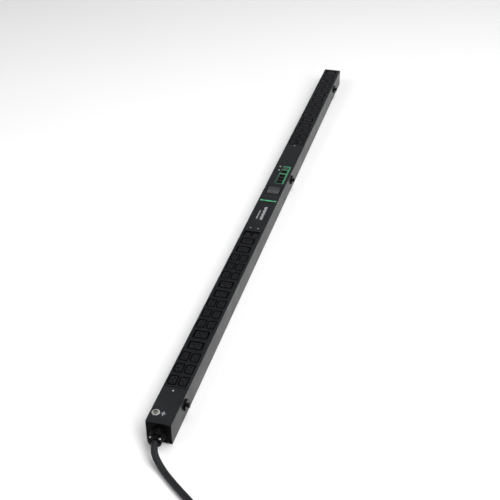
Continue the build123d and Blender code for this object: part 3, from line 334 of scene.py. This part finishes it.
def moulded(name, colour, roughness, grain_size=0.0007, depth=0.00004, **sockets):
    """Moulded plastic or rubber: a fine spark-eroded grain, and slow changes of tone and gloss."""
    finish = Finish(name, roughness, **sockets)
    cloud = finish.noise(0.025, detail=4.0)
    grain = finish.noise(grain_size, detail=2.0)
    toned = finish.blend(
        finish.spread(cloud, 0.0, 1.0), [c * 0.8 for c in colour], [min(c * 1.2, 1.0) for c in colour]
    )
    finish.colour(
        finish.blend(finish.spread(grain, 0.0, 0.3, 0.45, 0.75), toned, [min(c * 1.7, 1.0) for c in colour])
    )
    finish.roughness(finish.spread(cloud, roughness - 0.06, roughness + 0.07))
    finish.bump(grain, depth, 0.4)
    return finish.material


def painted_socket_shade(finish, colour, level):
    """Turns a colour nearly black below a level: painted shade in the deep sockets, where light is lost."""
    depth = finish.spread(finish.axis("Z"), 1.0, 0.0, level - 0.45 * MM, level - 0.12 * MM)
    return finish.blend(depth, colour, (0.0004, 0.0004, 0.0005))


def outlet_face(name, colour, roughness):
    """Moulded outlet plastic: spark-eroded faces, with painted shade darkening the sockets and grooves."""
    finish = Finish(name, roughness, Specular_IOR_Level=0.3)
    cloud = finish.noise(0.02, detail=4.0)
    grain = finish.noise(0.0006, detail=2.0)
    toned = finish.blend(
        finish.spread(cloud, 0.0, 1.0), [c * 0.85 for c in colour], [c * 1.15 for c in colour]
    )
    speckled = finish.blend(finish.spread(grain, 0.0, 0.3, 0.45, 0.75), toned, [c * 1.8 for c in colour])
    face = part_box("lower_c13_outlets")[1][2]
    # Below the face the colour goes nearly black: painted shade in the sockets and grooves.
    finish.colour(painted_socket_shade(finish, speckled, face))
    finish.roughness(finish.spread(finish.axis("Z"), 1.0, roughness, face - 0.45 * MM, face - 0.12 * MM))
    finish.bump(grain, 0.00004, 0.4)
    return finish.material


def plated(name, colour, roughness, brushing=(1.0, 1.0, 1.0)):
    """Bright metal with fine scratches that run along one axis, and a little tarnish."""
    finish = Finish(name, roughness, metallic=1.0)
    scratches = finish.noise(0.0004, detail=3.0, stretch=brushing)
    tarnish = finish.noise(0.006, detail=5.0)
    finish.colour(
        finish.blend(finish.spread(tarnish, 0.0, 1.0, 0.35, 0.75), colour, [c * 0.62 for c in colour])
    )
    finish.roughness(finish.spread(scratches, roughness - 0.07, roughness + 0.12))
    finish.bump(scratches, 0.00002, 0.3)
    return finish.material


def printed(name, colour, roughness=0.45):
    """Screen print or label ink: small pinholes and slightly uneven density."""
    finish = Finish(name, roughness)
    density = finish.noise(0.004, detail=5.0)
    pinholes = finish.noise(0.0005, detail=2.0)
    inked = finish.blend(finish.spread(density, 0.0, 1.0), [c * 0.88 for c in colour], colour)
    finish.colour(
        finish.blend(finish.spread(pinholes, 0.0, 0.5, 0.66, 0.8), inked, [c * 0.4 for c in colour])
    )
    finish.roughness(finish.spread(density, roughness - 0.05, roughness + 0.05))
    finish.bump(density, 0.00002, 0.3)
    return finish.material


def circuit_board(name, mask, copper):
    """Solder mask over faint copper tracks."""
    finish = Finish(name, 0.35)
    tracks = finish.nodes.new("ShaderNodeTexBrick")
    tracks.inputs["Scale"].default_value = 120.0
    tracks.inputs["Mortar Size"].default_value = 0.06
    tracks.inputs["Color1"].default_value = (*mask, 1.0)
    tracks.inputs["Color2"].default_value = (*[c * 0.8 for c in mask], 1.0)
    tracks.inputs["Mortar"].default_value = (*copper, 1.0)
    finish.join(finish.place, tracks.inputs["Vector"])
    finish.colour(tracks.outputs["Color"])
    finish.bump(tracks.outputs["Fac"], 0.00005, 0.4)
    return finish.material


def display_film(name, low, high):
    """An unlit display: grey film with faint rows of cells, paler in its lower half, where the paler tone is
    painted light.
    """
    finish = Finish(name, 0.32)
    box_low, box_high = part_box("lcd_module")
    height = box_high[1] - box_low[1]
    # Painted light: the film is paler towards its lower half.
    painted_light_lower_half = finish.spread(finish.axis("Y"), 1.0, 0.0, box_low[1] + 0.45 * height, box_low[1] + 0.75 * height)
    rows = finish.calculate("SINE", finish.calculate("MULTIPLY", finish.axis("Y"), math.tau / (4.5 * MM)))
    columns = finish.calculate("SINE", finish.calculate("MULTIPLY", finish.axis("X"), math.tau / (3.0 * MM)))
    cells = finish.calculate("MULTIPLY", rows, columns)
    film = finish.blend(painted_light_lower_half, low, high)
    finish.colour(finish.blend(finish.spread(cells, 0.0, 0.16, 0.1, 0.6), film, [c * 0.45 for c in low]))
    finish.bump(cells, 0.00002, 0.2)
    return finish.material


def cord_jacket(name, colour):
    """Matte rubber sheath: fine grain drawn along the cord, and dusty highlights."""
    finish = Finish(name, 0.5, Specular_IOR_Level=0.22)
    dust = finish.noise(0.018, detail=6.0)
    grain = finish.noise(0.0009, detail=3.0)
    finish.colour(
        finish.blend(finish.spread(dust, 0.0, 1.0), [c * 0.75 for c in colour], [c * 1.3 for c in colour])
    )
    finish.roughness(finish.spread(dust, 0.44, 0.58))
    finish.bump(grain, 0.0001, 0.5)
    return finish.material


def woven_strap(name, colour):
    """Hook-and-loop strap: a napped weave with a matte surface."""
    finish = Finish(name, 0.85, Specular_IOR_Level=0.2, Sheen_Weight=0.25)
    nap = finish.noise(0.0006, detail=4.0)
    finish.colour(
        finish.blend(finish.spread(nap, 0.0, 1.0), [c * 0.5 for c in colour], [c * 2.0 for c in colour])
    )
    finish.bump(nap, 0.0003, 0.8)
    return finish.material


def clear_window(name):
    """A thin clear plate: nearly transparent, with a hard gloss and faint smears."""
    finish = Finish(name, 0.08, Alpha=0.12)
    smears = finish.noise(0.01, detail=5.0, stretch=(1, 3, 1))
    finish.colour(finish.blend(finish.spread(smears, 0.0, 1.0), (0.2, 0.21, 0.215), (0.3, 0.31, 0.315)))
    finish.roughness(finish.spread(smears, 0.05, 0.16))
    return finish.material


CHARCOAL = (0.0042, 0.0058, 0.0074)
PANEL_PAINT = powder_coat("panel_paint", CHARCOAL, 0.4, 0.25, Specular_IOR_Level=0.36)
CHANNEL_PAINT = powder_coat("channel_paint", (0.0075, 0.008, 0.0085), 0.4, 0.25, Specular_IOR_Level=0.44)
# The end caps take a near-black, dull copy of the powder coat: their own dark paint, darkened further as
# painted shade on the end faces.
SHADED_CAP_PAINT = powder_coat("shaded_cap_paint", (0.0022, 0.0022, 0.0025), 0.6, 0.0, Specular_IOR_Level=0.06)
BLACK_SCREW = plated("black_screw", (0.05, 0.05, 0.055), 0.42)
OUTLET_PLASTIC = outlet_face("outlet_plastic", (0.0048, 0.0053, 0.007), 0.36)
# Near-black, dull plastic for the rims and linings of the sockets: painted shade of the grooves.
SOCKET_SHADE_BLACK = moulded("socket_shade_black", (0.0012, 0.0012, 0.0014), 0.6, Specular_IOR_Level=0.08)
GUARD_PLASTIC = moulded("guard_plastic", (0.0014, 0.0014, 0.0016), 0.5, Specular_IOR_Level=0.08)
BREAKER_PLASTIC = moulded("breaker_plastic", (0.008, 0.008, 0.009), 0.45)
ROCKER_PLASTIC = moulded("rocker_plastic", (0.009, 0.009, 0.010), 0.28)
BUTTON_RUBBER = moulded("button_rubber", (0.013, 0.013, 0.015), 0.55)
JACK_PLASTIC = moulded("jack_plastic", (0.003, 0.003, 0.003), 0.4, Specular_IOR_Level=0.2)
PEG_PLASTIC = moulded("peg_plastic", (0.0035, 0.0035, 0.004), 0.4, Specular_IOR_Level=0.15)
GLAND_NYLON = moulded("gland_nylon", (0.0018, 0.0018, 0.0024), 0.42, Specular_IOR_Level=0.1)
LIGHT_PIPE = moulded("light_pipe", (0.5, 0.51, 0.5), 0.25, depth=0.00001)
PLUG_BLACK = moulded("plug_black", (0.015, 0.015, 0.017), 0.5)
PLUG_BLUE = moulded("plug_blue", (0.012, 0.075, 0.32), 0.38)
NYLON = moulded("nylon", (0.62, 0.62, 0.58), 0.45)
BROWN_WIRE = moulded("brown_wire", (0.16, 0.06, 0.025), 0.4)
BLUE_WIRE = moulded("blue_wire", (0.02, 0.09, 0.38), 0.4)
GREEN_WIRE = moulded("green_wire", (0.12, 0.33, 0.05), 0.4)
BRIGHT_STEEL = plated("bright_steel", (0.78, 0.78, 0.77), 0.3)
ZINC = plated("zinc", (0.62, 0.62, 0.6), 0.5)
DULL_STEEL = plated("dull_steel", (0.3, 0.3, 0.29), 0.42)
BRASS = plated("brass", (0.8, 0.6, 0.3), 0.3)
COPPER = plated("tinned_copper", (0.75, 0.55, 0.42), 0.32, brushing=(1, 20, 1))
WHITE_PRINT = printed("white_print", (0.5, 0.51, 0.53))
FADED_PRINT = printed("faded_print", (0.045, 0.046, 0.048))
LABEL_GREEN = printed("label_green", (0.04, 0.22, 0.11))
LABEL_BRIGHT = printed("label_bright", (0.06, 0.42, 0.18))
LABEL_BASE = printed("label_base", (0.012, 0.013, 0.014))
BOARD = circuit_board("board", (0.012, 0.07, 0.03), (0.08, 0.16, 0.06))
DISPLAY_FILM = display_film("display_film", (0.032, 0.033, 0.0325), (0.11, 0.112, 0.11))
WINDOW = clear_window("window")
CORD_JACKET = cord_jacket("cord_jacket", (0.0085, 0.0088, 0.0105))
STRAP_WEAVE = woven_strap("strap_weave", (0.009, 0.009, 0.01))

NODE_FINISHES = {
    PANEL_PAINT: "lower_blank_panel upper_blank_panel lower_outlet_panel upper_outlet_panel controller_panel",
    CHANNEL_PAINT: "rear_channel",
    SHADED_CAP_PAINT: "cord_end_cap far_end_cap",
    BLACK_SCREW: "cap_screws panel_screws",
    OUTLET_PLASTIC: "lower_c13_outlets lower_c19_outlets upper_c13_outlets upper_c19_outlets",
    GUARD_PLASTIC: "breaker_guard display_bezel",
    BREAKER_PLASTIC: "breaker_body_1 breaker_body_2 current_sensors tact_switches",
    ROCKER_PLASTIC: "breaker_rocker_1 breaker_rocker_2",
    BUTTON_RUBBER: "menu_button scroll_button select_button reset_button",
    JACK_PLASTIC: "network_jack accessory_jacks",
    PEG_PLASTIC: "mounting_pegs",
    GLAND_NYLON: "gland_body gland_locknut gland_clamp",
    LIGHT_PIPE: "status_lights",
    PLUG_BLACK: "plug_cord_grip plug_handle",
    PLUG_BLUE: "plug_shroud",
    NYLON: "board_standoffs",
    BROWN_WIRE: "live_wire",
    BLUE_WIRE: "neutral_wire",
    GREEN_WIRE: "earth_wire",
    BRIGHT_STEEL: "gland_screws inner_nuts usb_socket",
    ZINC: "ground_washer",
    DULL_STEEL: "ground_screw",
    BRASS: "outlet_contacts jack_contacts plug_pins",
    COPPER: "live_busbars neutral_busbars earth_busbars",
    LABEL_BASE: "port_label accent_strip",
    BOARD: "outlet_boards controller_board",
    DISPLAY_FILM: "lcd_module",
    WINDOW: "display_window",
}
for finish_material, names in NODE_FINISHES.items():
    for node_name in names.split():
        for material_slot in NODES[node_name].material_slots:
            material_slot.material = finish_material
cord.data.materials.append(CORD_JACKET)
for strap in straps:
    strap.data.materials.append(STRAP_WEAVE)

# ---------------------------------------------------------------- printed and small pieces


def plates(name, bars, base, thickness, corner, material, body="strip"):
    """One piece of several rounded plates, each bar given as low x, high x, start and end along."""
    shape = bmesh.new()
    for low_x, high_x, start, end in bars:
        centre = ((low_x + high_x) / 2 * MM, along((start + end) / 2), base)
        outline = rounded_outline((high_x - low_x) * MM, (end - start) * MM, corner)
        add_plate(shape, centre, outline, thickness)
    piece = closed_mesh(name, shape, body)
    piece.data.materials.append(material)
    return piece


LABEL_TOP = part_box("port_label")[1][2]
INK = 0.08 * MM
plates(
    "port_label_frame",
    [
        (15.0, 19.4, 988.4, 1091.2),
        (-4.0, 15.0, 1085.6, 1091.2),
        (-4.0, 15.0, 1066.8, 1070.8),
        (-6.1, 15.0, 1043.0, 1048.6),
        (-6.1, -5.0, 988.4, 1043.0),
        (-5.0, 15.0, 988.4, 989.6),
    ],
    LABEL_TOP,
    INK,
    0.5 * MM,
    LABEL_GREEN,
)
plates(
    "accent_strip_lights",
    [
        (-22.0, -15.0, 885.6, 891.4),
        (-15.0, -8.0, 886.9, 890.1),
        (-8.0, 10.0, 885.8, 891.2),
        (10.0, 17.0, 886.9, 890.1),
        (17.0, 23.6, 885.6, 891.4),
    ],
    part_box("accent_strip")[1][2],
    INK,
    1.0 * MM,
    LABEL_BRIGHT,
)


def keyed_outline(width, height, cut, corner):
    """A rounded rectangle whose two corners on its -X side are cut off, counter-clockwise."""
    right, top = width / 2, height / 2
    corners = [
        (right, -top),
        (right, top),
        (cut - right, top),
        (-right, top - cut),
        (-right, cut - top),
        (cut - right, -top),
    ]
    return soften(corners, corner)


def soften(corners, radius, steps=3):
    """Each corner of an outline replaced by a short curve that starts radius away from it."""
    outline = []
    for index, place in enumerate(corners):
        corner = Vector(place)
        before = corner + (Vector(corners[index - 1]) - corner).normalized() * radius
        after = corner + (Vector(corners[(index + 1) % len(corners)]) - corner).normalized() * radius
        for step in range(steps + 1):
            part = step / steps
            outline.append(tuple(before.lerp(corner, part).lerp(corner.lerp(after, part), part)))
    return outline


# Near-black rims round the sockets, a little proud of the outlet faces, and linings down the walls of the
# grooves: painted shade that widens and deepens the dark of the grooves, as light is lost in deep grooves.
RIM_WIDTH = 1.05 * MM
RIM_HEIGHT = 0.12 * MM
LINING = 0.12 * MM
WALL_GAP = 0.02 * MM
OUTLET_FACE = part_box("lower_c13_outlets")[1][2]
ROWS = 15
ROW_PITCH = 39.3
FIRST_ROWS = (129.5, 1255.0)
C13_COLUMNS = (-14.0 * MM, 10.5 * MM)
C13_RECESS = (20.2 * MM, 29.2 * MM, 5.0 * MM)
C13_ISLAND = (16.2 * MM, 24.4 * MM, 3.8 * MM)
C13_DEPTH = 15.0 * MM
C19_COLUMN = -1.5 * MM
C19_RECESS = (34.6 * MM, 26.6 * MM, 3.0 * MM)
C19_ISLAND = (28.2 * MM, 20.6 * MM, 1.5 * MM)
C19_DEPTH = 19.5 * MM


def c13_outline(width, height, cut, grow):
    """The keyed outline of a C13 socket, grown all round."""
    return keyed_outline(width + 2 * grow, height + 2 * grow, cut + 0.6 * grow, 0.5 * MM)


def c19_outline(width, height, corner, grow):
    """The rounded outline of a C19 socket, grown all round."""
    return rounded_outline(width + 2 * grow, height + 2 * grow, corner + grow)


def add_socket(shape, place, outline, recess, island, depth):
    """The painted-shade rim of one socket, and the painted-shade linings of its recess and of its island."""
    x, y = place
    bottom = OUTLET_FACE - depth
    wall = outline(*recess, -WALL_GAP)
    add_plate(shape, (x, y, OUTLET_FACE), outline(*recess, RIM_WIDTH), RIM_HEIGHT, wall)
    add_plate(shape, (x, y, bottom), wall, depth + RIM_HEIGHT, outline(*recess, -LINING))
    add_plate(shape, (x, y, bottom), outline(*island, LINING), depth, outline(*island, WALL_GAP))


socket_shade_sheets = bmesh.new()
for first_row in FIRST_ROWS:
    for row in range(ROWS):
        row_y = along(first_row + ROW_PITCH * row)
        if row % 5 < 3:
            for column in C13_COLUMNS:
                add_socket(socket_shade_sheets, (column, row_y), c13_outline, C13_RECESS, C13_ISLAND, C13_DEPTH)
        else:
            add_socket(socket_shade_sheets, (C19_COLUMN, row_y), c19_outline, C19_RECESS, C19_ISLAND, C19_DEPTH)
socket_shade_piece = closed_mesh("outlet_socket_shade", socket_shade_sheets, "strip")
socket_shade_piece.data.materials.append(SOCKET_SHADE_BLACK)

# On and off marks on the rockers: a bar on the raised half and a ring on the low half.
ROCKER_PIVOT = (along(715.0), 46.5 * MM)
ROCKER_TILT = math.radians(-8.0)
HALF_SLOPE = math.radians(8.04)
MARK_FROM_PIVOT = 4.6 * MM
MARK_HEIGHT = 3.56 * MM
MARK_SIZE = 4.2 * MM
BAR_WIDTH = 0.9 * MM
RING_HOLE = 2.6 * MM


def rocker_mark(name, rocker_x, half, outline, inner, body):
    """A printed mark on one half of a rocker: half is -1 towards the cord end and 1 away from it."""
    lengthwise = Vector((0.0, math.cos(ROCKER_TILT), math.sin(ROCKER_TILT)))
    upward = Vector((0.0, -math.sin(ROCKER_TILT), math.cos(ROCKER_TILT)))
    centre = Vector((rocker_x, *ROCKER_PIVOT)) + lengthwise * half * MARK_FROM_PIVOT + upward * MARK_HEIGHT
    mark = bmesh.new()
    add_plate(mark, (0.0, 0.0, 0.0), outline, INK, inner)
    turn = Matrix.Translation(centre) @ Matrix.Rotation(ROCKER_TILT + half * HALF_SLOPE, 4, "X")
    bmesh.ops.transform(mark, matrix=turn, verts=mark.verts)
    piece = closed_mesh(name, mark, body)
    piece.data.materials.append(FADED_PRINT)


mark_bar = rounded_outline(BAR_WIDTH, MARK_SIZE, 0.2 * MM)
mark_ring = rounded_outline(MARK_SIZE, MARK_SIZE, MARK_SIZE / 2)
ring_hole = rounded_outline(RING_HOLE, RING_HOLE, RING_HOLE / 2)
for number, rocker_x in ((1, -11.2 * MM), (2, 10.2 * MM)):
    rocker = f"breaker_rocker_{number}"
    rocker_mark(f"rocker_{number}_bar", rocker_x, -1, mark_bar, None, rocker)
    rocker_mark(f"rocker_{number}_ring", rocker_x, 1, mark_ring, ring_hole, rocker)

# The screen print: an earth symbol, a dot for each bank, a tick for each breaker, and two
# rows of plain strokes.
EARTH_X = 1.2
PRINT_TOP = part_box("printed_marks")[1][2] - FACE
earth_bars = [
    (EARTH_X - 0.5, EARTH_X + 0.5, 21.0, 27.0),
    (EARTH_X - 4.8, EARTH_X + 4.8, 27.0, 28.0),
    (EARTH_X - 3.1, EARTH_X + 3.1, 29.6, 30.6),
    (EARTH_X - 1.4, EARTH_X + 1.4, 32.2, 33.2),
]
dots = [(-3.6, -0.4, y - 1.6, y + 1.6) for y in (97.0, 1226.0)]
breaker_ticks = [(x - 1.4, x + 1.4, 742.6, 745.4) for x in (-11.0, 10.0)]
tall_strokes = [(0.8 + 1.8 * (n % 3 == 0), 8.6, 788.4 + 5.6 * n, 791.4 + 5.6 * n) for n in range(12)]
short_strokes = [(-9.2, -5.4, 791.0 + 4.0 * n, 793.0 + 4.0 * n) for n in range(11)]
marks = plates(
    "screen_print",
    earth_bars + dots + breaker_ticks + tall_strokes + short_strokes,
    FACE,
    PRINT_TOP,
    0.3 * MM,
    WHITE_PRINT,
)
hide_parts("printed_marks")

# ---------------------------------------------------------------- floor and light

FLOOR_REACH = 14.0
FLOOR_DROP = 0.5 * MM
floor_shape = bmesh.new()
bmesh.ops.create_grid(floor_shape, x_segments=1, y_segments=1, size=FLOOR_REACH)
floor_mesh = bpy.data.meshes.new("studio_floor")
floor_shape.to_mesh(floor_mesh)
floor_shape.free()
floor = bpy.data.objects.new("studio_floor", floor_mesh)
floor.location = (0.0, 0.0, -FLOOR_DROP)
bpy.context.collection.objects.link(floor)
floor_finish = Finish("studio_floor", 0.9, Specular_IOR_Level=0.1)
floor_cloud = floor_finish.spread(floor_finish.noise(0.8), 0.0, 1.0)
floor_finish.colour(floor_finish.blend(floor_cloud, (0.9, 0.9, 0.9), (0.92, 0.92, 0.92)))
floor_mesh.materials.append(floor_finish.material)


def softbox(name, place, target, size, energy):
    light = bpy.data.lights.new(name, "AREA")
    light.shape = "RECTANGLE"
    light.size, light.size_y = size
    light.energy = energy
    lamp = bpy.data.objects.new(name, light)
    lamp.location = place
    lamp.rotation_mode = "QUATERNION"
    lamp.rotation_quaternion = (Vector(target) - Vector(place)).to_track_quat("-Z", "Y")
    bpy.context.collection.objects.link(lamp)


softbox("key_light", (2.6, -1.4, 3.2), (0.0, 0.0, 0.0), (3.0, 3.0), 140.0)
softbox("fill_light", (-2.8, -2.0, 3.0), (0.0, -0.2, 0.0), (2.5, 2.5), 60.0)
softbox("top_light", (0.8, 0.6, 4.0), (0.0, 0.2, 0.0), (3.0, 3.0), 95.0)

# The studio's walls are paler near the horizon than overhead.
world = bpy.data.worlds.new("studio")
world.use_nodes = True
world_nodes = world.node_tree.nodes
direction = world_nodes.new("ShaderNodeTexCoord").outputs["Generated"]
height = world_nodes.new("ShaderNodeSeparateXYZ")
dimming = world_nodes.new("ShaderNodeMapRange")
for socket, value in (("From Min", 0.25), ("From Max", 0.75), ("To Min", 0.42), ("To Max", 0.05)):
    dimming.inputs[socket].default_value = value
world.node_tree.links.new(direction, height.inputs["Vector"])
world.node_tree.links.new(height.outputs["Z"], dimming.inputs["Value"])
world.node_tree.links.new(dimming.outputs["Result"], world_nodes["Background"].inputs["Strength"])
world_nodes["Background"].inputs["Color"].default_value = (1.0, 1.0, 1.0, 1.0)
bpy.context.scene.world = world
